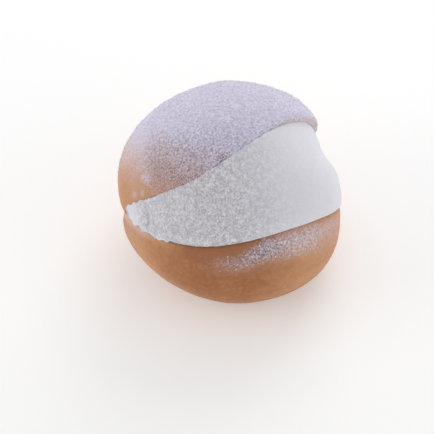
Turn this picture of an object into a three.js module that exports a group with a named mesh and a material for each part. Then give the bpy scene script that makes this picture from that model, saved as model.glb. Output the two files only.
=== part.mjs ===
// Maritozzo: a round sweet bun, slit on the slant, opened like a clam and filled with whipped cream.
// Millimetres, +Z up, resting on its flat underside at Z = 0 with the open side toward +X and -Y.
import * as THREE from "three";
import { LoftGeometry } from "three/addons/geometries/LoftGeometry.js";

const degrees = THREE.MathUtils.degToRad;

// The bun as baked: a squat ball that has settled on a flat underside.
const BUN_CENTRE = new THREE.Vector3(0, -4.7, 29.5);
const BUN_RADIUS = 50;
const BUN_HALF_HEIGHT = 39.5;
const UNDERSIDE_BLEND = 3;

// Swellings and flats of the hand-shaped dough, each toward a direction from the middle of the bun.
const LUMP_CENTRE = new THREE.Vector3(0, -2.7, 34);
const LUMP_FULL_DISTANCE = 40;
const LUMPS = [
  { toward: new THREE.Vector3(-0.75, 0.5, 0.4), height: 3.2, spread: 0.42 },
  { toward: new THREE.Vector3(0.4, 0.62, 0.68), height: -1.8, spread: 0.25 },
  { toward: new THREE.Vector3(-0.95, -0.3, -0.1), height: 1.4, spread: 0.42 },
  { toward: new THREE.Vector3(-0.7, -0.55, -0.45), height: -3.1, spread: 0.42 },
  { toward: new THREE.Vector3(-0.1, -0.9, -0.4), height: -0.8, spread: 0.42 },
  { toward: new THREE.Vector3(0.75, -0.5, -0.4), height: 4.6, spread: 0.42 },
  { toward: new THREE.Vector3(1, -0.05, -0.1), height: -1.5, spread: 0.35 },
];

// The slit: it stops at a hinge line low at the back, and the lid is turned up about that line.
const HINGE_POINT = new THREE.Vector3(-19.8, 8.6, 25.9);
const HINGE_AZIMUTH = degrees(216);
const HINGE_SLOPE = degrees(22);
const SLIT_TILT = degrees(19.5);
const OPENING = degrees(41);
const BEND_START = degrees(100);
const BEND_SPAN = degrees(160);
const SLIT_ROOT = 3;
const SLIT_ROOT_SHARE = 0.4;
const ROOT_SETBACK = 0.07;
const SLIT_RUNOUT = degrees(16);
const SLIT_END_DEPTH = 0.1;

// The two rims of the slit: rounded lips that wander by small angles about the hinge line.
// The lid's lip is fuller over the wide end of the cream.
const LIP_RADIUS = 2;
const LIP_SHARE = 0.3;
const LID_LIP_EXTRA = 1.6;
const LID_LIP_RISE = [degrees(80), degrees(105)];
const LID_LIP_FALL = [degrees(140), degrees(170)];
const LID_RIM_WAVES = [-0.09, -0.05, -0.065, 0.02];
const BASE_RIM_WAVES = [-0.015, -0.055, -0.065];
const RIM_WAVE_FADE = 0.5;

// The fold that the crust makes behind the hinge line, running out at both ends of the slit.
const FOLD_DEPTH = 2.4;
const FOLD_WIDTH = degrees(20);
const FOLD_ANGLE = Math.PI + OPENING / 2;
const FOLD_RUNOUT = degrees(14);

// The cream: a wedge that fills the slit, rolled out over the base's rim and tucked under the lid's.
// Toward its wide end it swells in the middle and is tucked deeper, and its narrow end bulges out.
const GAP = 0.3;
const CREAM_ROLL = 1.6;
const CREAM_ROLL_AT = 0.12;
const CREAM_ROLL_WIDTH = 0.16;
const CREAM_BELLY = 1.8;
const CREAM_BELLY_AT = 0.4;
const CREAM_BELLY_WIDTH = 0.2;
const CREAM_TUCK = 0.6;
const CREAM_TUCK_WIDE_END = 3.6;
const CREAM_TUCK_START = 0.2;
const CREAM_TUCK_END = 0.75;
const CREAM_BULGE = 1.2;
const CREAM_FULL_REACH = 20;
const WIDE_END = [degrees(80), degrees(112)];
const NARROW_END = [degrees(12), degrees(28)];
const CREAM_TIP = degrees(9);

// Finish of the baked crust and of the cream.
const CRUST_FINISH = { color: 0xb9814f, roughness: 0.7 };
const CREAM_FINISH = { color: 0xf2f0ee, roughness: 0.6 };

// Fineness of the faceted solids.
const BUN_SECTIONS = 60;
const BUN_TIP = degrees(2);
const SKIN_STEPS = 46;
const SKIN_CROWDING = 0.55;
const LIP_STEPS = 4;
const FACE_STEPS = 4;
const CREAM_SECTIONS = 46;
const CREAM_STEPS = 24;

// Axes of the slit: along the hinge line, out of the slit's mouth, and square to the slit.
const up = new THREE.Vector3(0, 0, 1);
const hingeAxis = new THREE.Vector3(Math.cos(HINGE_SLOPE), 0, Math.sin(HINGE_SLOPE));
hingeAxis.applyAxisAngle(up, HINGE_AZIMUTH);
const levelMouth = new THREE.Vector3().crossVectors(up, hingeAxis).normalize();
const mouthAxis = levelMouth.clone().applyAxisAngle(hingeAxis, SLIT_TILT);
const slitNormal = new THREE.Vector3().crossVectors(hingeAxis, mouthAxis);

const LUMP_DIRECTIONS = LUMPS.map((lump) => lump.toward.clone().normalize());

// Unit vector at an angle about the hinge line, measured from the slit's mouth.
function aboutHinge(turn) {
  const across = mouthAxis.clone().multiplyScalar(Math.cos(turn));
  return across.addScaledVector(slitNormal, Math.sin(turn));
}

// Unit vector from the hinge point: spread from the hinge line, then turned about it.
function ray(spread, turn) {
  const along = hingeAxis.clone().multiplyScalar(Math.cos(spread));
  return along.addScaledVector(aboutHinge(turn), Math.sin(spread));
}

// Distance from the hinge point to the crust of the uncut bun along a ray.
function bakedReach(spread, turn) {
  const scale = new THREE.Vector3(1 / BUN_RADIUS, 1 / BUN_RADIUS, 1 / BUN_HALF_HEIGHT);
  const start = HINGE_POINT.clone().sub(BUN_CENTRE).multiply(scale);
  const step = ray(spread, turn).multiply(scale);
  const a = step.lengthSq();
  const b = step.dot(start);
  const c = start.lengthSq() - 1;
  return (Math.sqrt(b * b - a * c) - b) / a;
}

// Sum of sine waves along the hinge line, zero at both ends of the slit.
function rimWave(waves, spread) {
  return waves.reduce((sum, height, i) => sum + height * Math.sin((i + 1) * spread), 0);
}

// Angle of the lid's rim after opening.
function lidRim(spread) {
  return OPENING + rimWave(LID_RIM_WAVES, spread);
}

// Angle of the base's rim, which stays where it was cut.
function baseRim(spread) {
  return rimWave(BASE_RIM_WAVES, spread);
}

// Angle after opening of crust that lay at a given angle: the lid is turned fully, the base not at all.
function openedTurn(spread, turn) {
  const bend = THREE.MathUtils.smoothstep(turn, BEND_START, BEND_START + BEND_SPAN);
  const lidWave = rimWave(LID_RIM_WAVES, spread) * Math.exp(-turn / RIM_WAVE_FADE);
  const baseWave = rimWave(BASE_RIM_WAVES, spread) * Math.exp((turn - 2 * Math.PI) / RIM_WAVE_FADE);
  return turn + OPENING * (1 - bend) + lidWave + baseWave;
}

// Depth of the fold at a spot of the opened crust.
function foldDepth(spread, turn) {
  const end = Math.min(spread, Math.PI - spread);
  const across = Math.exp(-(((turn - FOLD_ANGLE) / FOLD_WIDTH) ** 2));
  return FOLD_DEPTH * across * THREE.MathUtils.smoothstep(end, 0, FOLD_RUNOUT);
}

// The dough's unevenness, then the flat underside.
function settled(point) {
  const out = point.clone().sub(LUMP_CENTRE);
  const share = Math.min(1, (out.length() / LUMP_FULL_DISTANCE) ** 2);
  out.normalize();
  let rise = 0;
  LUMPS.forEach((lump, i) => {
    rise += lump.height * Math.exp((out.dot(LUMP_DIRECTIONS[i]) - 1) / lump.spread ** 2);
  });
  const spot = point.clone().addScaledVector(out, rise * share);
  const above = Math.max(0, spot.z + UNDERSIDE_BLEND);
  spot.z = Math.abs(spot.z) < UNDERSIDE_BLEND ? above ** 2 / (4 * UNDERSIDE_BLEND) : Math.max(0, spot.z);
  return spot;
}

// A spot some way along the hinge line and out from it, moved sideways about it by a small length.
function spotAt(along, out, turn, sideways = 0) {
  const spot = HINGE_POINT.clone().addScaledVector(hingeAxis, along);
  spot.addScaledVector(aboutHinge(turn), out);
  return settled(spot.addScaledVector(aboutHinge(turn + Math.PI / 2), sideways));
}

// Place of the slit's root along the hinge line, held back from where the line meets the crust.
function rootAlong(spread) {
  const end = bakedReach(Math.cos(spread) > 0 ? 0 : Math.PI, 0);
  return end * Math.cos(spread) * (1 - ROOT_SETBACK);
}

// Distance of the slit's root from the hinge line.
function rootOut(spread) {
  return Math.min(SLIT_ROOT, SLIT_ROOT_SHARE * bakedReach(spread, 0) * Math.sin(spread));
}

// Share of the way from rim to root that the slit is open: it runs out shallow at both ends.
function slitDepth(spread) {
  const end = Math.min(spread, Math.PI - spread);
  return THREE.MathUtils.lerp(SLIT_END_DEPTH, 1, THREE.MathUtils.smoothstep(end, BUN_TIP, SLIT_RUNOUT));
}

// Evenly spaced spots of a cut face, straight in from its rim to the root of the slit.
function faceSpots(reach, spread, turn, gap = 0, sideways = 0) {
  const spots = [];
  for (let i = 1; i <= FACE_STEPS; i++) {
    const share = (i / FACE_STEPS) * slitDepth(spread);
    const along = THREE.MathUtils.lerp(reach * Math.cos(spread), rootAlong(spread), share);
    const out = THREE.MathUtils.lerp(reach * Math.sin(spread), rootOut(spread) + gap, share);
    spots.push(spotAt(along, out, turn, sideways));
  }
  return spots;
}

// Angles about the hinge from the lid's rim round the back to the base's rim, close-set on both lips.
function skinTurns(lidLipTurn, baseLipTurn) {
  const turns = [];
  for (let i = 0; i < LIP_STEPS; i++) {
    turns.push(lidLipTurn * (1 - Math.cos((i / LIP_STEPS) * (Math.PI / 2))));
  }
  for (let i = 0; i <= SKIN_STEPS; i++) {
    const round = (i / SKIN_STEPS) * 2 * Math.PI;
    const share = (round - SKIN_CROWDING * Math.sin(round)) / (2 * Math.PI);
    turns.push(lidLipTurn + share * (2 * Math.PI - lidLipTurn - baseLipTurn));
  }
  for (let i = LIP_STEPS - 1; i >= 0; i--) {
    turns.push(2 * Math.PI - baseLipTurn * (1 - Math.cos((i / LIP_STEPS) * (Math.PI / 2))));
  }
  return turns;
}

// How far a lip is rounded back at an angle from its rim: a quarter circle, then nothing.
function lipRounding(lip, fromRim, lipTurn) {
  return lip * (1 - Math.sqrt(1 - (1 - Math.min(1, fromRim / lipTurn)) ** 2));
}

// Extra radius of the lid's lip.
function lidLipExtra(spread) {
  const rise = THREE.MathUtils.smoothstep(spread, ...LID_LIP_RISE);
  return LID_LIP_EXTRA * rise * (1 - THREE.MathUtils.smoothstep(spread, ...LID_LIP_FALL));
}

// One loop of the bun: round the crust, in along the base's cut and back out along the lid's.
function bunSection(spread) {
  const rimReach = bakedReach(spread, 0);
  const girth = rimReach * Math.sin(spread);
  const baseLip = Math.min(LIP_RADIUS, LIP_SHARE * girth);
  const lidLip = baseLip + lidLipExtra(spread);
  const skin = skinTurns(lidLip / girth, baseLip / girth).map((turn) => {
    const lidRounding = lipRounding(lidLip, turn, lidLip / girth);
    const baseRounding = lipRounding(baseLip, 2 * Math.PI - turn, baseLip / girth);
    const opened = openedTurn(spread, turn);
    const reach = bakedReach(spread, turn) - lidRounding - baseRounding - foldDepth(spread, opened);
    return spotAt(reach * Math.cos(spread), reach * Math.sin(spread), opened);
  });
  const baseFace = faceSpots(rimReach - baseLip, spread, baseRim(spread));
  const lidFace = faceSpots(rimReach - lidLip, spread, lidRim(spread)).reverse();
  return [...skin, ...baseFace, ...lidFace];
}

// Bell curve of height 1.
function bell(value, middle, width) {
  return Math.exp(-(((value - middle) / width) ** 2));
}

// How far the cream stands out of the arc between the two rims, from the base's rim (0) to the lid's (1).
function creamSwell(share, spread, girth) {
  const wide = THREE.MathUtils.smoothstep(spread, ...WIDE_END);
  const narrow = 1 - THREE.MathUtils.smoothstep(spread, ...NARROW_END);
  const roll = CREAM_ROLL * bell(share, CREAM_ROLL_AT, CREAM_ROLL_WIDTH);
  const belly = CREAM_BELLY * wide * bell(share, CREAM_BELLY_AT, CREAM_BELLY_WIDTH);
  const tuckDepth = THREE.MathUtils.lerp(CREAM_TUCK, CREAM_TUCK_WIDE_END, wide) * (1 - narrow);
  const tuck = tuckDepth * THREE.MathUtils.smoothstep(share, CREAM_TUCK_START, CREAM_TUCK_END);
  const bulge = CREAM_BULGE * narrow * Math.sin(Math.PI * share);
  return (roll + belly - tuck) * Math.min(1, girth / CREAM_FULL_REACH) + bulge;
}

// One loop of the cream: up the open face from rim to rim, in along the lid's cut, out along the base's.
function creamSection(spread) {
  const rimReach = bakedReach(spread, 0);
  const girth = rimReach * Math.sin(spread);
  const low = baseRim(spread);
  const high = lidRim(spread);
  const shares = Array.from({ length: CREAM_STEPS + 1 }, (_, i) => i / CREAM_STEPS);
  const reaches = shares.map((share) => rimReach + creamSwell(share, spread, girth));
  const open = shares.map((share, i) => {
    const turn = THREE.MathUtils.lerp(low, high, share);
    const sideways = GAP * (1 - 2 * share);
    return spotAt(reaches[i] * Math.cos(spread), reaches[i] * Math.sin(spread), turn, sideways);
  });
  const lidFace = faceSpots(reaches[CREAM_STEPS], spread, high, GAP, -GAP);
  const baseFace = faceSpots(reaches[0], spread, low, GAP, GAP).reverse();
  return [...open, ...lidFace, ...baseFace];
}

// Loops from one end of the hinge line to the other, skinned into one closed solid.
function loft(section, count, tip) {
  const loops = [];
  for (let i = 0; i < count; i++) {
    loops.push(section(THREE.MathUtils.lerp(Math.PI - tip, tip, i / (count - 1))));
  }
  return new LoftGeometry(loops, { capStart: true, capEnd: true });
}

function piece(name, geometry, finish) {
  const mesh = new THREE.Mesh(geometry, new THREE.MeshStandardMaterial(finish));
  mesh.name = name;
  return mesh;
}

const maritozzo = new THREE.Group();
maritozzo.name = "maritozzo";
maritozzo.add(piece("bun", loft(bunSection, BUN_SECTIONS, BUN_TIP), CRUST_FINISH));
maritozzo.add(piece("cream", loft(creamSection, CREAM_SECTIONS, CREAM_TIP), CREAM_FINISH));

export default maritozzo;
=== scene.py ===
import math

import bpy
import numpy as np
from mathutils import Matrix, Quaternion, Vector


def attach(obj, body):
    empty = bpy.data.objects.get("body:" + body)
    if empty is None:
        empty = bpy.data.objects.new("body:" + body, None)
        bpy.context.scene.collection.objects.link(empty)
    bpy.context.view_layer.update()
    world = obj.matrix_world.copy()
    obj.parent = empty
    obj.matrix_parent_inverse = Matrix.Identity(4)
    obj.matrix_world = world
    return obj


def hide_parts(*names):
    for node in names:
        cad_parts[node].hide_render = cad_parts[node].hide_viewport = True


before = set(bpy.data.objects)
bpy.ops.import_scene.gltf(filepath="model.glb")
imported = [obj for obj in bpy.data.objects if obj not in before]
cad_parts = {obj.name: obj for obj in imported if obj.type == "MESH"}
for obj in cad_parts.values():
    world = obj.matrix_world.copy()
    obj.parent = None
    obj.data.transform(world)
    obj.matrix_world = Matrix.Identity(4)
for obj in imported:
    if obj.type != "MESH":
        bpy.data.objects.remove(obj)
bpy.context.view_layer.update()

MM = 0.001

# The bun: one piece of sweet enriched dough, proved and baked as a squat ball with a flat underside.
# A knife slit it on the slant, stopping short of the back, and the lid was turned up on that uncut hinge.
# Outside it is a thin satin crust, browned unevenly; on the two cut faces the pale crumb shows.
BUN_CENTRE = np.array([0, -4.7, 29.5]) * MM
BUN_SEMI_AXES = np.array([50, 50, 39.5]) * MM
UNDERSIDE_BLEND = 3 * MM
LUMP_CENTRE = np.array([0, -2.7, 34]) * MM
LUMP_FULL_DISTANCE = 40 * MM
# Each swelling or flat of the dough: the direction it lies in, its height and its spread.
DOUGH_LUMPS = [
    ((-0.75, 0.5, 0.4), 3.2 * MM, 0.42),
    ((0.4, 0.62, 0.68), -1.8 * MM, 0.25),
    ((-0.95, -0.3, -0.1), 1.4 * MM, 0.42),
    ((-0.7, -0.55, -0.45), -3.1 * MM, 0.42),
    ((-0.1, -0.9, -0.4), -0.8 * MM, 0.42),
    ((0.75, -0.5, -0.4), 4.6 * MM, 0.42),
    ((1, -0.05, -0.1), -1.5 * MM, 0.35),
]
# The slit: where its hinge line runs, how it tilts, how far it was opened, and how that eases behind.
HINGE_POINT = np.array([-19.8, 8.6, 25.9]) * MM
HINGE_AZIMUTH = math.radians(216)
HINGE_SLOPE = math.radians(22)
SLIT_TILT = math.radians(19.5)
OPENING = math.radians(41)
OPENING_EASES = np.radians((100, 260))
SLIT_ROOT = 3 * MM
SLIT_ROOT_SHARE = 0.4
ROOT_SETBACK = 0.07
SLIT_RUNOUT = math.radians(16)
SLIT_END_DEPTH = 0.1
# Both rims of the slit wave. Their lips are rounded, the lid's more so over the wide end of the cream.
LIP_RADIUS = 2 * MM
LIP_SHARE = 0.3
LID_LIP_EXTRA = 1.6 * MM
LID_LIP_RISE, LID_LIP_FALL = np.radians((80, 105)), np.radians((140, 170))
LID_RIM_WAVES = (-0.09, -0.05, -0.065, 0.02)
BASE_RIM_WAVES = (-0.015, -0.055, -0.065)
RIM_WAVE_FADE = 0.5
# Behind the hinge line the crust is pressed into a shallow fold.
FOLD_DEPTH = 2.4 * MM
FOLD_WIDTH = math.radians(20)
FOLD_ANGLE = math.pi + OPENING / 2
FOLD_RUNOUT = math.radians(14)
# The grid: a row for each angle from the hinge line, a closed loop of skin and cut faces in each row.
BUN_TIP = math.radians(2)
BUN_ROWS = 320
SKIN_STEPS = 244
SKIN_CROWDING = 0.55
LIP_STEPS = 10
BUN_FACE_STEPS = 16
LATTICE_CELLS = 32
TINY = 1e-12


def smooth(values, low, high):
    """Smoothstep: 0 up to low, 1 from high on, and 3t^2 - 2t^3 on the share t of the way between them."""
    share = np.clip((values - low) / (high - low), 0, 1)
    return share * share * (3 - 2 * share)


def plateau(values, rise, fall):
    """A smooth step up over the stretch rise, times one minus the smooth step over the stretch fall."""
    return smooth(values, *rise) * (1 - smooth(values, *fall))


def between(low, high, share):
    """A straight blend: low plus the share of the difference to high."""
    return low + (high - low) * share


def bell(values, middle, width):
    """Bell curve of height 1: e to the minus square of the distance from the middle over the width."""
    return np.exp(-(((values - middle) / width) ** 2))


def unit(vectors):
    """Vectors brought to length one."""
    return vectors / np.linalg.norm(vectors, axis=-1, keepdims=True)


def rotated(vector, axis, angle):
    """A vector turned about a unit axis: its part across the axis goes round by cosine and sine."""
    along = axis * (vector @ axis)
    return along + (vector - along) * math.cos(angle) + np.cross(axis, vector) * math.sin(angle)


def lattice_noise(points, size, seed):
    """Random heights from -1 to 1 at the corners of a cubic lattice, blended between by smooth steps."""
    table = np.random.default_rng(seed).uniform(-1, 1, (LATTICE_CELLS,) * 3)
    cell = np.floor(points / size).astype(int)
    share = smooth(points / size - cell, 0, 1)
    total = np.zeros(points.shape[:-1])
    for corner in np.ndindex(2, 2, 2):
        weight = np.prod(np.where(corner, share, 1 - share), axis=-1)
        i, j, k = np.moveaxis((cell + corner) % LATTICE_CELLS, -1, 0)
        total += weight * table[i, j, k]
    return total


UP = np.array([0.0, 0.0, 1.0])
hinge_axis = rotated(np.array([math.cos(HINGE_SLOPE), 0, math.sin(HINGE_SLOPE)]), UP, HINGE_AZIMUTH)
mouth_axis = rotated(unit(np.cross(UP, hinge_axis)), hinge_axis, SLIT_TILT)
slit_normal = np.cross(hinge_axis, mouth_axis)


def about_hinge(turn):
    """Unit vectors square to the hinge line: mouth direction times cosine plus slit normal times sine."""
    return np.cos(turn)[..., None] * mouth_axis + np.sin(turn)[..., None] * slit_normal


def baked_reach(spread, turn):
    """Distance from the hinge point to the uncut ball: the positive root of ray against ellipsoid."""
    ray = np.cos(spread)[..., None] * hinge_axis + np.sin(spread)[..., None] * about_hinge(turn)
    start = (HINGE_POINT - BUN_CENTRE) / BUN_SEMI_AXES
    step = ray / BUN_SEMI_AXES
    a = (step * step).sum(-1)
    b = step @ start
    return (np.sqrt(b * b - a * (start @ start - 1)) - b) / a


def rim_wave(waves, spread):
    """Sum of sines along the slit, none of them moving its two ends."""
    return sum(height * np.sin((i + 1) * spread) for i, height in enumerate(waves))


def opened_turn(spread, turn):
    """Angle of the crust after opening: the lid turns by the opening, which eases to nothing behind."""
    opening = OPENING * (1 - smooth(turn, *OPENING_EASES))
    lid_wave = rim_wave(LID_RIM_WAVES, spread) * np.exp(-turn / RIM_WAVE_FADE)
    base_wave = rim_wave(BASE_RIM_WAVES, spread) * np.exp((turn - 2 * math.pi) / RIM_WAVE_FADE)
    return turn + opening + lid_wave + base_wave


def fold_depth(spread, turn):
    """Depth of the fold behind the hinge: a bell across it, run out at both ends of the slit."""
    end = np.minimum(spread, math.pi - spread)
    return FOLD_DEPTH * bell(turn, FOLD_ANGLE, FOLD_WIDTH) * smooth(end, 0, FOLD_RUNOUT)


def settled(points):
    """Dough lumps, each a bell of direction from the middle, then the underside pressed flat."""
    out = points - LUMP_CENTRE
    distance = np.linalg.norm(out, axis=-1, keepdims=True)
    out = out / distance
    rise = sum(height * np.exp((out @ unit(np.array(toward)) - 1) / spread**2)
               for toward, height, spread in DOUGH_LUMPS)
    points = points + out * rise[..., None] * np.minimum(1, (distance / LUMP_FULL_DISTANCE) ** 2)
    height = points[..., 2]
    edge = (height + UNDERSIDE_BLEND) ** 2 / (4 * UNDERSIDE_BLEND)
    points[..., 2] = np.where(np.abs(height) < UNDERSIDE_BLEND, edge, np.maximum(0, height))
    return points


def spot_at(along, out, turn):
    """Places along the hinge line and out from it at an angle about it, then settled."""
    return settled(HINGE_POINT + along[..., None] * hinge_axis + out[..., None] * about_hinge(turn))


def face_spots(reach, spread, turn, steps):
    """A cut face: straight lines from its rim to the slit's root by the hinge, shallower at both ends."""
    end = np.minimum(spread, math.pi - spread)
    depth = between(SLIT_END_DEPTH, 1, smooth(end, BUN_TIP, SLIT_RUNOUT))
    share = depth * np.arange(1, steps + 1) / steps
    hinge_end = baked_reach(np.where(np.cos(spread) > 0, 0, math.pi), 0.0)
    root_along = hinge_end * np.cos(spread) * (1 - ROOT_SETBACK)
    girth = baked_reach(spread, 0.0) * np.sin(spread)
    root_out = np.minimum(SLIT_ROOT, SLIT_ROOT_SHARE * girth)
    along = reach * np.cos(spread) * (1 - share) + root_along * share
    out = reach * np.sin(spread) * (1 - share) + root_out * share
    return spot_at(along, out, turn)


def skin_turns(lid_lip_turn, base_lip_turn):
    """Angles from the lid's rim round the back to the base's rim, close-set on both lips and near them."""
    lip = 1 - np.cos(np.arange(LIP_STEPS) / LIP_STEPS * math.pi / 2)
    even = np.linspace(0, 2 * math.pi, SKIN_STEPS + 1)
    share = (even - SKIN_CROWDING * np.sin(even)) / (2 * math.pi)
    skin = lid_lip_turn + share * (2 * math.pi - lid_lip_turn - base_lip_turn)
    return np.concatenate([lid_lip_turn * lip, skin, 2 * math.pi - base_lip_turn * lip[::-1]], axis=1)


def lip_rounding(radius, from_rim):
    """How far a lip is drawn back at a distance from its rim: radius less height of a quarter circle."""
    share = np.minimum(from_rim / radius, 1)
    return radius * (1 - np.sqrt(1 - (1 - share) ** 2))


def grid_normals(grid):
    """Outward normals of a grid of closed loops: the cross product of its steps along and across."""
    along = np.gradient(grid, axis=0)
    across = np.roll(grid, -1, axis=1) - np.roll(grid, 1, axis=1)
    normal = np.cross(across, along)
    return normal / (np.linalg.norm(normal, axis=-1, keepdims=True) + TINY)


def new_piece(name, points, faces):
    """A mesh object from lists of points and faces, placed at the origin."""
    mesh = bpy.data.meshes.new(name)
    mesh.from_pydata(points, [], faces)
    piece = bpy.data.objects.new(name, mesh)
    bpy.context.scene.collection.objects.link(piece)
    return piece


def loop_piece(name, grid):
    """A closed surface from a grid of loops: quads between neighbours, and a fan closing each end."""
    rows, columns = grid.shape[:2]
    index = np.arange(rows * columns).reshape(rows, columns)
    after = np.roll(index, -1, axis=1)
    quads = np.stack([index[:-1], after[:-1], after[1:], index[1:]], axis=-1).reshape(-1, 4)
    first, last = rows * columns, rows * columns + 1
    start_fan = np.stack([after[0], index[0], np.full(columns, first)], axis=-1)
    end_fan = np.stack([index[-1], after[-1], np.full(columns, last)], axis=-1)
    points = np.concatenate([grid.reshape(-1, 3), [grid[0].mean(0), grid[-1].mean(0)]])
    piece = new_piece(name, points.tolist(), quads.tolist() + start_fan.tolist() + end_fan.tolist())
    piece.data.shade_smooth()
    return piece


def add_attribute(piece, name, values):
    """A number for every point of a piece."""
    attribute = piece.data.attributes.new(name, "FLOAT", "POINT")
    attribute.data.foreach_set("value", values.astype(np.float32))


def with_ends(values):
    """A grid's numbers in one row, then the means of its first and last loops for the two end points."""
    return np.concatenate([values.ravel(), [values[0].mean(), values[-1].mean()]])


bun_spread = np.linspace(math.pi - BUN_TIP, BUN_TIP, BUN_ROWS)[:, None]
rim_reach = baked_reach(bun_spread, 0.0)
rim_girth = rim_reach * np.sin(bun_spread)
base_lip = np.minimum(LIP_RADIUS, LIP_SHARE * rim_girth)
lid_lip = base_lip + LID_LIP_EXTRA * plateau(bun_spread, LID_LIP_RISE, LID_LIP_FALL)
turn = skin_turns(lid_lip / rim_girth, base_lip / rim_girth)
opened = opened_turn(bun_spread, turn)
full_reach = baked_reach(bun_spread, turn) - fold_depth(bun_spread, opened)
skin_reach = full_reach - lip_rounding(lid_lip, turn * rim_girth)
skin_reach -= lip_rounding(base_lip, (2 * math.pi - turn) * rim_girth)
skin = spot_at(skin_reach * np.cos(bun_spread), skin_reach * np.sin(bun_spread), opened)
base_rim = rim_wave(BASE_RIM_WAVES, bun_spread)
lid_rim = OPENING + rim_wave(LID_RIM_WAVES, bun_spread)
base_face = face_spots(rim_reach - base_lip, bun_spread, base_rim, BUN_FACE_STEPS)
lid_face = face_spots(rim_reach - lid_lip, bun_spread, lid_rim, BUN_FACE_STEPS)
bun_grid = np.concatenate([skin, base_face, lid_face[:, ::-1]], axis=1)
bun_normal = grid_normals(bun_grid)
is_skin = np.zeros(bun_grid.shape[:2])
is_skin[:, : turn.shape[1]] = 1
bun_turn = np.concatenate([turn, np.full((BUN_ROWS, 2 * BUN_FACE_STEPS), 2 * math.pi)], axis=1)
# The way the crust faces where its lips are left unrounded; the first column takes its neighbour's.
sharp_skin = spot_at(full_reach * np.cos(bun_spread), full_reach * np.sin(bun_spread), opened)
sharp_normal = grid_normals(np.concatenate([sharp_skin, base_face, lid_face[:, ::-1]], axis=1))
sharp_normal[:, 0] = sharp_normal[:, 1]

# Icing sugar was sifted onto the lid from above and behind: it lies where the crust faces that way.
# It is thinner along the front part of the lid's rim, and the lip shelters its own underside.
LID_SIFT_FROM = unit(np.array([0.64, 0.7, 0.32]))
LID_FACING, LID_STEEPNESS = (-0.88, 0.08), (-0.3, 0.3)
LID_RIM_COVER, LID_RIM_REACH, LID_RIM_EVENS = 0.85, 12 * MM, np.radians((44, 60))
LIP_SHELTER, RIGHT_LIP_SHELTER, LIP_FACING = 0.05, 0.2, (-0.3, 0.5)
LIP_SHELTER_GROWS = np.radians((64, 88))
# At its front end the lid carries only a fine film of powder, without the grains that lie on the rest.
FILM_ENDS_SIDEWAYS, FILM_ENDS_BACKWARD = (-39 * MM, -31 * MM), (2 * MM, 34 * MM)
FILM_EXTRA, FILM_EXTRA_RISE, FILM_EXTRA_FALL = 0.1, (0.35, 0.6), (0.75, 1)

film = 1 - smooth(bun_grid[..., 0], *FILM_ENDS_SIDEWAYS)
film *= 1 - smooth(bun_grid[..., 1], *FILM_ENDS_BACKWARD)
lid_cover = smooth(sharp_normal @ LID_SIFT_FROM, *LID_FACING)
lid_cover += FILM_EXTRA * film * plateau(lid_cover, FILM_EXTRA_RISE, FILM_EXTRA_FALL)
lid_cover *= smooth(sharp_normal[..., 2], *LID_STEEPNESS)
rim_thin = (1 - LID_RIM_COVER) * (1 - smooth(bun_spread, *LID_RIM_EVENS))
lid_cover *= 1 - rim_thin * (1 - smooth(bun_turn * rim_girth, 0, LID_RIM_REACH))
lip_shelter = between(LIP_SHELTER, RIGHT_LIP_SHELTER, smooth(bun_spread, *LIP_SHELTER_GROWS))
lid_cover *= 1 - lip_shelter * (1 - smooth(bun_normal[..., 2], *LIP_FACING))

# On the base the powder lies in a patchy band below the rim, from the front to the right, where it thins.
# Left of that there is faint dust, and at the slit's left end a thin smear along the rim.
BAND_COVER, BAND_STARTS, BAND_ENDS = 0.735, np.radians((50, 81)), np.radians((104, 132))
BAND_THIN, BAND_THINS = 0.7, np.radians((92, 104))
BAND_AT_RIM, RIM_DUSTED, BAND_RISE = 0.44, np.radians((60, 84)), 5 * MM
BAND_FADES_FROM, BAND_FADES_TO, BAND_TAIL = 3.5 * MM, 16 * MM, 4 * MM
BAND_DIP, BAND_LEVELS = 3.4 * MM, np.radians((67, 80))
PATCH_SIZE, PATCH_DEPTH, FINE_PATCHES = 4.5 * MM, 0.13, 0.6
FAINT_DUST, FAINT_DUST_STARTS = 0.1, np.radians((30, 55))
FAINT_DUST_RISE, FAINT_DUST_FALL = (0, 3 * MM), (3 * MM, 20 * MM)
LEFT_DUST, LEFT_DUST_ENDS = 0.15, np.radians((18, 32))
SMEAR, SMEAR_ENDS, SMEAR_REACH = 0.42, np.radians((26, 46)), 6.5 * MM

below_rim = (2 * math.pi - bun_turn) * rim_girth
right_part = smooth(bun_spread, *BAND_THINS)
along_band = plateau(bun_spread, BAND_STARTS, BAND_ENDS) * between(1, BAND_THIN, right_part)
at_rim = BAND_AT_RIM * smooth(bun_spread, *RIM_DUSTED)
below_dip = below_rim - BAND_DIP * (1 - smooth(bun_spread, *BAND_LEVELS))
across_band = between(at_rim, 1, smooth(below_dip, 0, BAND_RISE))
across_band *= 1 - smooth(below_dip, BAND_FADES_FROM, BAND_FADES_TO + BAND_TAIL * right_part)
patches = lattice_noise(bun_grid, PATCH_SIZE, seed=15)
patches += FINE_PATCHES * lattice_noise(bun_grid, PATCH_SIZE / 2, seed=16)
base_cover = BAND_COVER * along_band * across_band * (1 + PATCH_DEPTH * patches)
faint_dust = FAINT_DUST * smooth(bun_spread, *FAINT_DUST_STARTS)
base_cover += faint_dust * plateau(below_rim, FAINT_DUST_RISE, FAINT_DUST_FALL)
base_cover += LEFT_DUST * (1 - smooth(bun_spread, *LEFT_DUST_ENDS))
past_smear = smooth(bun_spread, *SMEAR_ENDS)
base_cover += SMEAR * (1 - past_smear) * (1 - smooth(below_rim, 0, SMEAR_REACH))

# The two covers meet round the back, and slow drifts vary them. Clumps fell near the lid's front end,
# and at one place on the lid's rim the powder was rubbed off; that spot also gets painted shade.
LID_TO_BASE = np.radians((150, 230))
DRIFT_SIZE, DRIFT_DEPTH, DRIFT_RISE, DRIFT_FALL = 7 * MM, 0.08, (0.02, 0.3), (0.7, 1)
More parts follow.
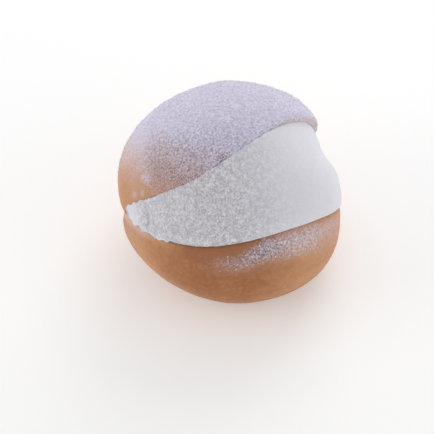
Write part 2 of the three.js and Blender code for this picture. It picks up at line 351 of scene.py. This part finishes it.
# Each clump: its place, radius and cover.
CLUMPS = [
    (np.array([-36.3, -14.6, 64.9]) * MM, 2.3 * MM, 0.5),
    (np.array([-38.4, -12.2, 63.8]) * MM, 1.7 * MM, 0.3),
    (np.array([-43.2, -15, 55.2]) * MM, 1.9 * MM, 0.44),
    (np.array([-39.4, -17.7, 59.3]) * MM, 1.5 * MM, 0.44),
]
CLUMP_BREAK_SIZE, CLUMP_BREAKS = 2.6 * MM, (-1.3, 0.1)
RUBBED_AT, RUBBED_RADIUS, RUBBED_OFF = np.array([-2.1, -19.3, 80.1]) * MM, 1.6 * MM, 0.22


def spot(middle, radius):
    """A round spot on the bun: a bell of the distance from its middle."""
    return bell(np.linalg.norm(bun_grid - middle, axis=-1), 0, radius)


base_share = smooth(bun_turn, *LID_TO_BASE)
bun_cover = between(lid_cover, base_cover, base_share)
drift = lattice_noise(bun_grid, DRIFT_SIZE, seed=11)
bun_cover += DRIFT_DEPTH * drift * plateau(bun_cover, DRIFT_RISE, DRIFT_FALL)
fallen = sum(most * spot(middle, radius) for middle, radius, most in CLUMPS)
bun_cover += fallen * smooth(lattice_noise(bun_grid, CLUMP_BREAK_SIZE, seed=12), *CLUMP_BREAKS)
rubbed_and_shaded = spot(RUBBED_AT, RUBBED_RADIUS)
bun_cover *= 1 - RUBBED_OFF * rubbed_and_shaded
bun_cover = np.clip(bun_cover, 0, 1) * is_skin

# The powder is fine in the lid's film, coarser toward the right of the band, and a smooth film at its end.
# Its heaps lie in their own painted shadow, deeper at the front than on top, deepest in the band's left
# part and at the rubbed spot.
FILM_COARSENESS = 0.45
BAND_CHANGES = np.radians((70, 96))
BAND_COARSENESS, RIGHT_BAND_COARSENESS = 0.9, 1.6
BAND_END_GRAINED, BAND_END_SMOOTHS = 0.2, np.radians((96, 106))
TOP_SHADOW, FRONT_SHADOW, SHADOW_FACING = 0.42, 0.9, (-0.2, 0.32)
RIGHT_SHADOW, SHADOW_FADES = 0.45, np.radians((60, 86))
BAND_SHADOW, RIGHT_BAND_SHADOW = 1.45, 0.5
# Extra painted shade where the powder was rubbed off the lid's rim.
RUBBED_SHADOW = 1.8

lid_coarseness = between(1, FILM_COARSENESS, film)
band_change = smooth(bun_spread, *BAND_CHANGES)
grained = past_smear * between(1, BAND_END_GRAINED, smooth(bun_spread, *BAND_END_SMOOTHS))
band_coarseness = between(BAND_COARSENESS, RIGHT_BAND_COARSENESS, band_change) * grained
coarseness = between(lid_coarseness, band_coarseness, base_share)
forward = smooth(-sharp_normal[..., 1], *SHADOW_FACING)
forward *= between(1, RIGHT_SHADOW, smooth(bun_spread, *SHADOW_FADES))
lid_shadow = between(TOP_SHADOW, FRONT_SHADOW, forward) * lid_coarseness
band_shadow = between(BAND_SHADOW, RIGHT_BAND_SHADOW, band_change) * past_smear
heap_shadow = between(lid_shadow, band_shadow, base_share) + RUBBED_SHADOW * rubbed_and_shaded

# The oven browned the top of the ball most and left the two sides golden; its front is darker by painted
# shade.
# Just below the front of the base's rim, under the cream's edge, the crust is darker again by painted
# shadow.
FRONT_PAINTED_SHADE_TOWARD = unit(np.array([-0.22, -0.97, 0.08]))
FRONT_PAINTED_SHADE, FRONT_PAINTED_SHADE_FACING = 0.84, (0.68, 1.0)
BROWN_TOP_FACING = (0.5, 0.95)
RIM_PAINTED_SHADOW_RISE, RIM_PAINTED_SHADOW_FALL = np.radians((36, 56)), np.radians((72, 92))
RIM_PAINTED_SHADOW_FADES = (2 * MM, 11 * MM)

front_painted_shade = FRONT_PAINTED_SHADE * smooth(sharp_normal @ FRONT_PAINTED_SHADE_TOWARD, *FRONT_PAINTED_SHADE_FACING)
top_brown = smooth(sharp_normal[..., 2], *BROWN_TOP_FACING) * (1 - base_share)
rim_painted_shadow = plateau(bun_spread, RIM_PAINTED_SHADOW_RISE, RIM_PAINTED_SHADOW_FALL) * (1 - smooth(below_rim, *RIM_PAINTED_SHADOW_FADES))
browning_and_shade = np.maximum(front_painted_shade, top_brown) + rim_painted_shadow * base_share

# Relief of the crust: soft unevenness of the dough, fine wrinkles, and the powder's own small heaps.
# None of it reaches the underside, which stays flat.
DOUGH_WAVE_SIZE, DOUGH_WAVE_HEIGHT = 15 * MM, 0.35 * MM
WRINKLE_SIZE, WRINKLE_HEIGHT = 2.6 * MM, 0.07 * MM
HEAP_SIZE, HEAP_HEIGHT = 1.5 * MM, 0.13 * MM
RELIEF_STARTS = (0.4 * MM, 4 * MM)

crust_relief = DOUGH_WAVE_HEIGHT * lattice_noise(bun_grid, DOUGH_WAVE_SIZE, seed=1)
crust_relief += WRINKLE_HEIGHT * lattice_noise(bun_grid, WRINKLE_SIZE, seed=2)
crust_relief += HEAP_HEIGHT * bun_cover * (1 + lattice_noise(bun_grid, HEAP_SIZE, seed=3))
crust_relief *= smooth(bun_grid[..., 2], *RELIEF_STARTS) * is_skin
bun_grid = bun_grid + bun_normal * crust_relief[..., None]

bun = loop_piece("baked_bun", bun_grid)
add_attribute(bun, "sugar_cover", with_ends(bun_cover))
add_attribute(bun, "crumb", with_ends(1 - is_skin))
add_attribute(bun, "browning_and_shade", with_ends(browning_and_shade))
add_attribute(bun, "coarseness", with_ends(coarseness))
add_attribute(bun, "heap_shadow", with_ends(heap_shadow))


def paint(red, green, blue):
    """A colour from a picture's 8-bit values, taken by the sRGB curve to the linear values of shaders."""
    levels = np.array([red, green, blue]) / 255
    linear = np.where(levels <= 0.04045, levels / 12.92, ((levels + 0.055) / 1.055) ** 2.4)
    return (*linear.tolist(), 1.0)


def feed(node, feeds):
    """Each named socket of a node linked to another node's output, or set where it is given a constant."""
    for socket, source in feeds.items():
        if isinstance(source, bpy.types.NodeSocket):
            node.id_data.links.new(source, node.inputs[socket])
        else:
            node.inputs[socket].default_value = source


def add_node(tree, kind, feeds=None, output=0, **settings):
    """One shader node with its settings and its sockets fed; gives back one of its outputs."""
    node = tree.nodes.new("ShaderNode" + kind)
    for setting, choice in settings.items():
        setattr(node, setting, choice)
    feed(node, feeds or {})
    return node.outputs[output]


def object_place(tree):
    """The place of each point in the piece's own coordinates."""
    return add_node(tree, "TexCoord", output="Object")


def own_number(tree, name):
    """The number that an attribute of the piece has at each point."""
    return add_node(tree, "Attribute", output="Fac", attribute_name=name)


def calculate(tree, operation, *terms, **settings):
    """One sum on two or three numbers: a Math node."""
    return add_node(tree, "Math", dict(enumerate(terms)), operation=operation, **settings)


def ranged(tree, value, old, new=(0.0, 1.0), **settings):
    """A value carried from the old range over to the new one, and held at its ends."""
    (old_low, old_high), (new_low, new_high) = old, new
    feeds = {"From Min": old_low, "From Max": old_high, "To Min": new_low, "To Max": new_high}
    return add_node(tree, "MapRange", {"Value": value, **feeds}, **settings)


def mixed(tree, share, first, second, **settings):
    """A blend from the first colour to the second by a share."""
    return add_node(tree, "MixRGB", {"Fac": share, "Color1": first, "Color2": second}, **settings)


def new_material(name):
    """A material that holds only a Principled shader so far."""
    material = bpy.data.materials.new(name)
    material.use_nodes = True
    return material


def set_shader(material, feeds):
    """The sockets of a material's Principled shader fed."""
    feed(material.node_tree.nodes["Principled BSDF"], feeds)


# Sifted powder: its share of the surface, speckled by noise, and the hollows between its heaps.
# Equal steps of cover look even when the share mixed into the crust's colour is a power of the cover.
SPECKLES_PER_METRE = 1000
SPECKLE_NOISE, SPECKLE_SWING, SPECKLE_DEPTH = (0.35, 0.65), 0.5, 0.95
COVER_POWER = 1.65

dust = bpy.data.node_groups.new("Sifted sugar", "ShaderNodeTree")
for name, side in (("Cover", "INPUT"), ("Coarseness", "INPUT"), ("Share", "OUTPUT"), ("Hollows", "OUTPUT")):
    dust.interface.new_socket(name, in_out=side, socket_type="NodeSocketFloat")
dust_in = dust.nodes.new("NodeGroupInput")
dust_noise = add_node(dust, "TexNoise", {
    "Vector": object_place(dust), "Scale": SPECKLES_PER_METRE, "Detail": 2, "Roughness": 0.5})
dust_height = ranged(dust, dust_noise, SPECKLE_NOISE, (-SPECKLE_SWING, SPECKLE_SWING))
dust_cover = dust_in.outputs["Cover"]
dust_bare = calculate(dust, "SUBTRACT", 1.0, dust_cover)
dust_broken = calculate(dust, "MULTIPLY", dust_cover, dust_bare)
dust_depth = calculate(dust, "MULTIPLY", dust_broken, SPECKLE_DEPTH)
dust_coarse = calculate(dust, "MULTIPLY", dust_depth, dust_in.outputs["Coarseness"])
dust_speckle = calculate(dust, "MULTIPLY_ADD", dust_height, dust_coarse, dust_cover, use_clamp=True)
feed(dust.nodes.new("NodeGroupOutput"), {
    "Share": calculate(dust, "POWER", dust_speckle, COVER_POWER),
    "Hollows": calculate(dust, "SUBTRACT", SPECKLE_SWING, dust_height)})

# The crust's finish: golden where pale, mottled and freckled brown, crumb on the cuts. Painted shade
# darkens its front, the strip under the base's rim and its foot, where painted warm reflected light also
# makes it more orange.
# The powder over it is whitest where deep, pinker and paler where thin, that paleness being painted light;
# its hollows are shaded.
CRUST_GOLD = paint(209, 155, 115)
CRUST_BROWN_AND_SHADE = paint(174, 115, 77)
CRUST_FOOT_SHADED = paint(164, 107, 65)
CRUMB_PALE = paint(243, 214, 178)
SUGAR_WHITE = paint(235, 232, 252)
SUGAR_THIN_AND_LIT = paint(249, 236, 244)
SUGAR_SHADE = paint(205, 200, 220)
GRAIN_SHADOW = paint(209, 206, 213)
BLOTCHES_PER_METRE, BLOTCH_NOISE, BLOTCH_BROWN = 90, (0.35, 0.68), (-0.08, 0.24)
BLISTERS_PER_METRE, BLISTER_NOISE, BLISTER_BROWN = 520, (0.3, 0.7), (-0.18, 0.18)
FOOT_HEIGHT, FOOT_SHADE_MOST = 24 * MM, 0.85
DEEP_COVER, SHADED_COVER = (0.7, 1.0), (0.3, 0.85)
SATIN_TO_POWDER, CRUST_ROUGHNESS = (0.0, 0.5), (0.5, 0.92)
PORES_PER_METRE = 1100

crust = new_material("Baked crust")
tree = crust.node_tree
place = object_place(tree)
blotches = add_node(tree, "TexNoise", {
    "Vector": place, "Scale": BLOTCHES_PER_METRE, "Detail": 6, "Roughness": 0.68})
blisters = add_node(tree, "TexNoise", {
    "Vector": place, "Scale": BLISTERS_PER_METRE, "Detail": 3, "Roughness": 0.6})
mottle = ranged(tree, blotches, BLOTCH_NOISE, BLOTCH_BROWN)
freckle = ranged(tree, blisters, BLISTER_NOISE, BLISTER_BROWN)
uneven = calculate(tree, "ADD", mottle, freckle)
# Real browning on top, painted shade on the front and painted shadow under the base's rim, over random
# mottle.
browned_and_shaded = calculate(tree, "ADD", uneven, own_number(tree, "browning_and_shade"), use_clamp=True)
crust_colour = mixed(tree, browned_and_shaded, CRUST_GOLD, CRUST_BROWN_AND_SHADE)
height = add_node(tree, "SeparateXYZ", {0: place}, output="Z")
# Painted shade and painted warm reflected light: darker and more orange toward the foot.
foot_shade = ranged(tree, height, (0.0, FOOT_HEIGHT), (FOOT_SHADE_MOST, 0.0), interpolation_type="SMOOTHSTEP")
foot_shaded_colour = mixed(tree, foot_shade, crust_colour, CRUST_FOOT_SHADED)
baked_colour = mixed(tree, own_number(tree, "crumb"), foot_shaded_colour, CRUMB_PALE)
cover = own_number(tree, "sugar_cover")
sifted = add_node(tree, "Group", {
    "Cover": cover, "Coarseness": own_number(tree, "coarseness")}, node_tree=dust).node
shade_part = calculate(tree, "MULTIPLY", sifted.outputs["Hollows"], own_number(tree, "heap_shadow"))
# Thin powder: pinker by its own tint, paler by painted light.
powder = mixed(tree, ranged(tree, cover, DEEP_COVER), SUGAR_THIN_AND_LIT, SUGAR_WHITE)
heaped = mixed(tree, shade_part, powder, SUGAR_SHADE)
dusted = mixed(tree, sifted.outputs["Share"], baked_colour, heaped)
gaps = calculate(tree, "MULTIPLY", shade_part, ranged(tree, cover, SHADED_COVER))
crust_height = calculate(tree, "ADD", add_node(tree, "TexNoise", {
    "Vector": place, "Scale": PORES_PER_METRE, "Detail": 3}), sifted.outputs["Share"])
set_shader(crust, {
    "Base Color": mixed(tree, gaps, dusted, GRAIN_SHADOW, blend_type="MULTIPLY"),
    "Roughness": ranged(tree, sifted.outputs["Share"], SATIN_TO_POWDER, CRUST_ROUGHNESS),
    "Normal": add_node(tree, "Bump", {"Height": crust_height, "Strength": 0.35, "Distance": 0.25 * MM}),
    "Specular IOR Level": 0.08,
    "Sheen Weight": 0.02,
    "Sheen Roughness": 0.5,
    "Sheen Tint": (1, 0.85, 0.75, 1)})
bun.data.materials.append(crust)
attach(bun, "root")
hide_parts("bun")

# The cream: whipped cream spooned into the slit and smoothed off with a knife from rim to rim.
# It fills the whole slit, rolls over the base's rim in a soft edge, and swells out at the wide right end.
# At the narrow left end it was squeezed out in a blunt nose, with a torn edge over the crust beside it.
CREAM_ROLL, CREAM_ROLL_AT, CREAM_ROLL_WIDTH = 1.6 * MM, 0.12, 0.16
CREAM_BELLY, CREAM_BELLY_AT, CREAM_BELLY_WIDTH = 1.8 * MM, 0.4, 0.2
CREAM_TUCK, CREAM_TUCK_WIDE_END, CREAM_TUCKS = 0.6 * MM, 3.6 * MM, (0.2, 0.75)
WIDE_END, NARROW_END = np.radians((80, 112)), np.radians((12, 28))
CREAM_BULGE, CREAM_SPILL = 1.2 * MM, 1.0 * MM
CREAM_FULL_REACH = 20 * MM
# Its lower edge hangs over the base's rim and is torn on the left; its upper edge laps the lid's rim.
EDGE_BELOW_LIP, EDGE_RISE = 1.2 * MM, 1.8 * MM
EDGE_DROOP, EDGE_DROOP_AT = 0.55 * MM, 1.1 * MM
TORN_DROOP, TORN_MEAN, TORN_RISE, TORN_FALL = 1.1 * MM, 0.4, np.radians((10, 15)), np.radians((38, 43))
TORN_SIZE, TORN_FINE_SIZE, TORN_FINE = 3.4 * MM, 1.3 * MM, 0.5
LID_LAP, LID_LAP_FADE, LAP_UNDER_LIP = 0.9 * MM, 4 * MM, 0.9 * MM
LAP_UNEVEN, LAP_UNEVEN_SIZE = 0.75, 2 * MM
CREAM_TIP = math.radians(9.5)
NOSE_ROWS, LEFT_NOSE, RIGHT_NOSE, NOSE_SWELL = 12, 0.8 * MM, 1.2 * MM, 0.15
CREAM_ROWS, CREAM_STEPS, CREAM_FACE_STEPS = 440, 180, 8


def edge_bell(distance):
    """How far an edge overhangs: x times e to the 1 - x, x being distance over that of the furthest."""
    return distance / EDGE_DROOP_AT * np.exp(1 - distance / EDGE_DROOP_AT)


def nose(loop, toward, length):
    """A blunt end: copies of the last loop carried on by a sine, drawn in by a swollen cosine."""
    angle = np.linspace(0, math.pi / 2, NOSE_ROWS + 2)[1:-1, None, None]
    middle = loop.mean(0)
    size = np.cos(angle) * (1 + NOSE_SWELL * np.sin(2 * angle))
    return middle + (loop - middle) * size + toward * length * np.sin(angle)


cream_spread = np.linspace(math.pi - CREAM_TIP, CREAM_TIP, CREAM_ROWS)[:, None]
cream_rim = baked_reach(cream_spread, 0.0)
cream_girth = cream_rim * np.sin(cream_spread)
low_turn = rim_wave(BASE_RIM_WAVES, cream_spread)
high_turn = OPENING + rim_wave(LID_RIM_WAVES, cream_spread)
face_share = np.linspace(0, 1, CREAM_STEPS + 1)[None, :]
up_face = face_share * (high_turn - low_turn) * cream_girth
down_face = (1 - face_share) * (high_turn - low_turn) * cream_girth
wide_end = smooth(cream_spread, *WIDE_END)
narrow_end = 1 - smooth(cream_spread, *NARROW_END)
roll = CREAM_ROLL * bell(face_share, CREAM_ROLL_AT, CREAM_ROLL_WIDTH)
belly = CREAM_BELLY * wide_end * bell(face_share, CREAM_BELLY_AT, CREAM_BELLY_WIDTH)
tuck = between(CREAM_TUCK, CREAM_TUCK_WIDE_END, wide_end) * smooth(face_share, *CREAM_TUCKS)
swell = (roll + belly - tuck * (1 - narrow_end)) * np.minimum(1, cream_girth / CREAM_FULL_REACH)
swell += CREAM_BULGE * narrow_end * np.sin(math.pi * face_share)

base_rim_place = spot_at(cream_rim * np.cos(cream_spread), cream_girth, low_turn)
tear = lattice_noise(base_rim_place, TORN_SIZE, seed=21)
tear += TORN_FINE * lattice_noise(base_rim_place, TORN_FINE_SIZE, seed=25)
droop = EDGE_DROOP + TORN_DROOP * plateau(cream_spread, TORN_RISE, TORN_FALL) * (TORN_MEAN + tear)
lid_rim_place = spot_at(cream_rim * np.cos(cream_spread), cream_girth, high_turn)
lap = LID_LAP * (1 + LAP_UNEVEN * lattice_noise(lid_rim_place, LAP_UNEVEN_SIZE, seed=26))
lap = lap * (1 - wide_end) * (1 - smooth(down_face, 0, LID_LAP_FADE))
cream_turn = between(low_turn, high_turn, face_share) - droop * edge_bell(up_face) / cream_girth
cream_turn += (lap + CREAM_SPILL * narrow_end * edge_bell(down_face)) / cream_girth
past_rims = np.minimum(cream_turn - low_turn, 0) + np.maximum(cream_turn - high_turn, 0)
cream_reach = baked_reach(cream_spread, past_rims) + swell
cream_reach -= EDGE_BELOW_LIP * (1 - smooth(up_face, 0, EDGE_RISE))
cream_reach -= EDGE_BELOW_LIP * (1 - wide_end) * (1 - smooth(down_face, 0, LAP_UNDER_LIP))

open_face = spot_at(cream_reach * np.cos(cream_spread), cream_reach * np.sin(cream_spread), cream_turn)
under_lid = face_spots(cream_reach[:, -1:], cream_spread, high_turn, CREAM_FACE_STEPS)
on_base = face_spots(cream_reach[:, :1], cream_spread, low_turn, CREAM_FACE_STEPS)
cream_loops = np.concatenate([open_face, under_lid, on_base[:, ::-1]], axis=1)
left_nose = nose(cream_loops[-1], hinge_axis, LEFT_NOSE)
right_nose = nose(cream_loops[0], -hinge_axis, RIGHT_NOSE)
cream_grid = np.concatenate([right_nose[::-1], cream_loops, left_nose])
cream_normal = grid_normals(cream_grid)

# Its surface: smoothed by the knife at the wide end, broken and granular over the middle and the left.
# A crease crosses it near the nose, which is smooth again.
GRAINY_LEAST, GRAINY_ENDS = 0.06, np.radians((60, 96))
NOSE_GRAINY, NOSE_ENDS = 0.15, np.radians((15, 25))
LEFT_CURDLED, CURDLING_GROWS = 0.68, np.radians((35, 58))
CURD_SIZE, CURD_HEIGHT = 1.4 * MM, 0.26 * MM
CURD_FINE_SIZE, CURD_FINE_HEIGHT = 1.0 * MM, 0.12 * MM
KNIFE_WAVE_SIZE, KNIFE_WAVE_HEIGHT = 11 * MM, 0.3 * MM
CREASE_AT, CREASE_WIDTH, CREASE_DEPTH = math.radians(26.5), math.radians(1.3), 0.8 * MM
CREASE_RISE, CREASE_FALL = (0.1, 0.3), (0.6, 0.8)
FACE_STARTS, FACE_ENDS = (0, 0.03), (0.97, 1)

row_spread = np.pad(cream_spread[:, 0], NOSE_ROWS, mode="edge")[:, None] + np.zeros(cream_grid.shape[:2])
column_share = np.concatenate([face_share[0], np.zeros(2 * CREAM_FACE_STEPS)])
on_open_face = plateau(column_share, FACE_STARTS, FACE_ENDS)
grainy = between(GRAINY_LEAST, 1, 1 - smooth(row_spread, *GRAINY_ENDS))
grainy *= between(NOSE_GRAINY, 1, smooth(row_spread, *NOSE_ENDS))
curdled = between(LEFT_CURDLED, 1, smooth(row_spread, *CURDLING_GROWS))
cream_relief = CURD_HEIGHT * lattice_noise(cream_grid, CURD_SIZE, seed=22)
cream_relief += CURD_FINE_HEIGHT * lattice_noise(cream_grid, CURD_FINE_SIZE, seed=23)
cream_relief *= grainy * curdled
cream_relief += KNIFE_WAVE_HEIGHT * lattice_noise(cream_grid, KNIFE_WAVE_SIZE, seed=24)
crease = bell(row_spread, CREASE_AT, CREASE_WIDTH) * plateau(column_share, CREASE_RISE, CREASE_FALL)
cream_relief -= CREASE_DEPTH * crease
cream_grid = cream_grid + cream_normal * (cream_relief * on_open_face)[..., None]

cream = loop_piece("whipped_cream", cream_grid)
add_attribute(cream, "grainy", with_ends(grainy))
add_attribute(cream, "curdled", with_ends(curdled))

# Its finish: nearly white where smooth; where grainy, bright flecks on hollows greyed by painted shade,
# less so on the left.
# Curds and larger lumps, low between their middles, break up a fine froth.
CREAM_WHITE = paint(236, 235, 242)
CREAM_SHADE = paint(231, 230, 238)
CREAM_PIT_SHADE = paint(198, 197, 205)
CREAM_FLECKS = paint(252, 252, 255)
TONES_PER_METRE, FROTH_PER_METRE = 300, 1000
CURD_SPACING, CURD_SLOPE = 1.2 * MM, -0.5
LUMP_SPACING, LUMP_SLOPE = 2.2 * MM, -0.6
FROTH_RANGE, FLECK_SHARPNESS, MEAN_RISE = (-0.35, 0.22), 1.4, 0.38

cream_finish = new_material("Whipped cream")
tree = cream_finish.node_tree
place = object_place(tree)
tone = add_node(tree, "TexNoise", {"Vector": place, "Scale": TONES_PER_METRE, "Detail": 4})
smoothed = mixed(tree, tone, CREAM_WHITE, CREAM_SHADE)
froth = add_node(tree, "TexNoise", {
    "Vector": place, "Scale": FROTH_PER_METRE, "Detail": 2, "Roughness": 0.55})
curds = add_node(tree, "TexVoronoi", {"Vector": place, "Scale": 1 / CURD_SPACING})
lumps = add_node(tree, "TexVoronoi", {"Vector": place, "Scale": 1 / LUMP_SPACING})
frothed = calculate(tree, "MULTIPLY_ADD", curds, CURD_SLOPE, froth)
clotted = calculate(tree, "MULTIPLY_ADD", lumps, LUMP_SLOPE, frothed)
peaked = calculate(tree, "POWER", ranged(tree, clotted, FROTH_RANGE), FLECK_SHARPNESS)
from_mean = calculate(tree, "SUBTRACT", peaked, MEAN_RISE)
evened = calculate(tree, "MULTIPLY_ADD", from_mean, own_number(tree, "curdled"), MEAN_RISE)
# Grey pits: painted shade in the hollows between the bright flecks.
flecked = mixed(tree, evened, CREAM_PIT_SHADE, CREAM_FLECKS)
broken = own_number(tree, "grainy")
cream_height = calculate(tree, "MULTIPLY", evened, broken)
set_shader(cream_finish, {
    "Base Color": mixed(tree, broken, smoothed, flecked),
    "Normal": add_node(tree, "Bump", {"Height": cream_height, "Strength": 0.9, "Distance": 0.35 * MM}),
    "Roughness": 0.6,
    "Specular IOR Level": 0.3})
cream.data.materials.append(cream_finish)
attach(cream, "root")
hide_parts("cream")

# Icing sugar: the coarser grains of the sifted powder, each a small rough crystal half sunk where it fell.
# They lie on the lid, fewer where the powder is deep and none in its film, on the base's band of powder,
# and on the grainy part of the cream.
LID_GRAINS, BASE_GRAINS, CREAM_GRAINS = 10000, 850, 5000
CROWDED_COVER, DEEP_POWDER, LEFT_IN_DEEP = (0.15, 0.6), (0.6, 1), 0.15
CLINGING_GRAINY, CLINGING_FACING, WELL_ON_FACE = (0.3, 1), (0.2, 0.7), 0.5
THIN_LID_TONE, FULL_LID_TONE, LID_TONE_COVER = 0.25, 0.5, (0.5, 0.95)
BASE_TONE, CREAM_TONE, TONE_SPREAD = 0.35, 0.8, 0.35
GRAIN_SMALLEST, GRAIN_LARGEST, GRAIN_STANDS = 0.16 * MM, 0.42 * MM, 0.3
# One crystal is two three-sided pyramids, base to base, each corner drawn in or out at random.
CRYSTAL = np.array([(1, 0, 0), (-0.5, 0.87, 0), (-0.5, -0.87, 0), (0, 0, 1), (0, 0, -1)])
CRYSTAL_FACES = np.array([(0, 1, 3), (1, 2, 3), (2, 0, 3), (1, 0, 4), (2, 1, 4), (0, 2, 4)])
CORNER_SHORTEST, CORNER_LONGEST = 0.65, 1.25
chance = np.random.default_rng(seed=7)


def scattered(grid, normals, tone, weight, count):
    """Random places on a grid of loops: cells drawn by area times weight, then an even spot in the cell."""
    a, b = grid[:-1], np.roll(grid, -1, axis=1)[:-1]
    c, d = np.roll(grid, -1, axis=1)[1:], grid[1:]
    area = np.linalg.norm(np.cross(c - a, d - b), axis=-1) * weight[:-1]
    cell = chance.choice(area.size, count, p=(area / area.sum()).ravel())
    u, v = chance.random((2, count, 1))
    a, b, c, d = (corner.reshape(-1, 3)[cell] for corner in (a, b, c, d))
    spots = (a * (1 - u) + b * u) * (1 - v) + (d * (1 - u) + c * u) * v
    return spots, normals[:-1].reshape(-1, 3)[cell], tone[:-1].ravel()[cell]


def random_turns(count):
    """Random rotation matrices, from unit quaternions drawn evenly."""
    w, x, y, z = unit(chance.normal(size=(count, 4))).T
    rows = [[1 - 2 * (y * y + z * z), 2 * (x * y - w * z), 2 * (x * z + w * y)],
            [2 * (x * y + w * z), 1 - 2 * (x * x + z * z), 2 * (y * z - w * x)],
            [2 * (x * z - w * y), 2 * (y * z + w * x), 1 - 2 * (x * x + y * y)]]
    return np.moveaxis(np.array(rows), -1, 0)


crowd = smooth(bun_cover, *CROWDED_COVER)
on_lid = crowd * (1 - base_share) * between(1, LEFT_IN_DEEP, smooth(bun_cover, *DEEP_POWDER)) * (1 - film)
on_shoulder = crowd * base_share * grained
on_cream = np.where(on_open_face > WELL_ON_FACE, smooth(grainy, *CLINGING_GRAINY), 0)
on_cream = on_cream * smooth(cream_normal[..., 2], *CLINGING_FACING)
lid_tone = between(THIN_LID_TONE, FULL_LID_TONE, smooth(bun_cover, *LID_TONE_COVER))
drawn = [scattered(bun_grid, bun_normal, lid_tone, on_lid, LID_GRAINS),
         scattered(bun_grid, bun_normal, np.full_like(bun_cover, BASE_TONE), on_shoulder, BASE_GRAINS),
         scattered(cream_grid, cream_normal, np.full_like(grainy, CREAM_TONE), on_cream, CREAM_GRAINS)]
grain_place, grain_normal, grain_tone = (np.concatenate(column) for column in zip(*drawn))
grain_count = len(grain_place)
# The share between the smallest and largest size is squared, because most grains are small.
grain_size = between(GRAIN_SMALLEST, GRAIN_LARGEST, chance.random(grain_count) ** 2)
corner_reach = chance.uniform(CORNER_SHORTEST, CORNER_LONGEST, (grain_count, len(CRYSTAL), 1))
corners = CRYSTAL * corner_reach * grain_size[:, None, None]
corners = np.einsum("nij,nkj->nki", random_turns(grain_count), corners)
corners += (grain_place + grain_normal * (GRAIN_STANDS * grain_size)[:, None])[:, None]
grain_tone += TONE_SPREAD * chance.random(grain_count)
grain_faces = CRYSTAL_FACES + len(CRYSTAL) * np.arange(grain_count)[:, None, None]
sugar = new_piece("icing_sugar", corners.reshape(-1, 3).tolist(), grain_faces.reshape(-1, 3).tolist())
add_attribute(sugar, "tone", np.repeat(grain_tone, len(CRYSTAL)))

GRAIN_THIN = paint(208, 190, 194)
GRAIN_WHITE = paint(252, 249, 253)
sugar_finish = new_material("Icing sugar")
tree = sugar_finish.node_tree
set_shader(sugar_finish, {
    "Base Color": mixed(tree, own_number(tree, "tone"), GRAIN_THIN, GRAIN_WHITE),
    "Roughness": 0.8,
    "Specular IOR Level": 0.4})
sugar.data.materials.append(sugar_finish)
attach(sugar, "root")

# The floor: a plain pale table top, wide enough to fill the picture.
# It glows a little, so that it reads as white all round the bun's soft shadow.
FLOOR_HALF = 3.0
FLOOR_CORNERS = [(-FLOOR_HALF, -FLOOR_HALF, 0), (FLOOR_HALF, -FLOOR_HALF, 0),
                 (FLOOR_HALF, FLOOR_HALF, 0), (-FLOOR_HALF, FLOOR_HALF, 0)]
floor = new_piece("floor", FLOOR_CORNERS, [(0, 1, 2, 3)])
floor_finish = new_material("Pale table")
set_shader(floor_finish, {
    "Base Color": (0.9, 0.9, 0.9, 1),
    "Roughness": 0.8,
    "Emission Color": (1, 1, 1, 1),
    "Emission Strength": 0.26})
floor.data.materials.append(floor_finish)

# Soft studio light: a pale surround, brightest behind on the right, and three large square lamps.
# The lamps stand to the right, to the left and behind, and all face the bun.
FRONT_SKY, BACK_SKY = 0.46, 0.59
BRIGHTEST_SKY_TOWARD = (0.4, 0.92, 0)
# Each lamp: its name, place, power and side.
LAMPS = [
    ("right lamp", (0.72, -0.36, 0.34), 0.85, 0.6),
    ("left lamp", (-0.8, -0.02, 0.32), 1.65, 0.6),
    ("back lamp", (0.35, 0.75, 0.6), 3.1, 0.7),
]
world = bpy.data.worlds.new("Pale surround")
world.use_nodes = True
sky_side = add_node(world.node_tree, "VectorMath", {
    0: add_node(world.node_tree, "TexCoord", output="Generated"), 1: BRIGHTEST_SKY_TOWARD},
    output="Value", operation="DOT_PRODUCT")
feed(world.node_tree.nodes["Background"], {
    "Color": (1, 1, 1, 1),
    "Strength": ranged(world.node_tree, sky_side, (-1.0, 1.0), (FRONT_SKY, BACK_SKY))})
bpy.context.scene.world = world
bpy.context.scene.view_settings.view_transform = "Standard"
for name, lamp_place, power, side in LAMPS:
    lamp_data = bpy.data.lights.new(name, "AREA")
    lamp_data.energy = power
    lamp_data.size = side
    lamp = bpy.data.objects.new(name, lamp_data)
    lamp.location = lamp_place
    lamp.rotation_euler = (Vector(BUN_CENTRE) - Vector(lamp_place)).to_track_quat("-Z", "Y").to_euler()
    bpy.context.scene.collection.objects.link(lamp)

# The camera looks down on the bun from the front, turned a little about its own line of sight.
# Its lens is chosen so that the picture is VIEW_WIDTH wide at the point it aims at.
VIEW_AIM = Vector((-6.7, -10.35, 29.3)) * MM
VIEW_ELEVATION = math.radians(50)
VIEW_ROLL = math.radians(5)
VIEW_DISTANCE = 0.8
VIEW_WIDTH = 202.2 * MM
camera_data = bpy.data.cameras.new("camera")
camera_data.lens = camera_data.sensor_width * VIEW_DISTANCE / VIEW_WIDTH
camera = bpy.data.objects.new("camera", camera_data)
sight = Vector((0, math.cos(VIEW_ELEVATION), -math.sin(VIEW_ELEVATION)))
camera.location = VIEW_AIM - sight * VIEW_DISTANCE
camera.rotation_mode = "QUATERNION"
camera.rotation_quaternion = sight.to_track_quat("-Z", "Y") @ Quaternion((0, 0, 1), -VIEW_ROLL)
bpy.context.scene.collection.objects.link(camera)
bpy.context.scene.camera = camera
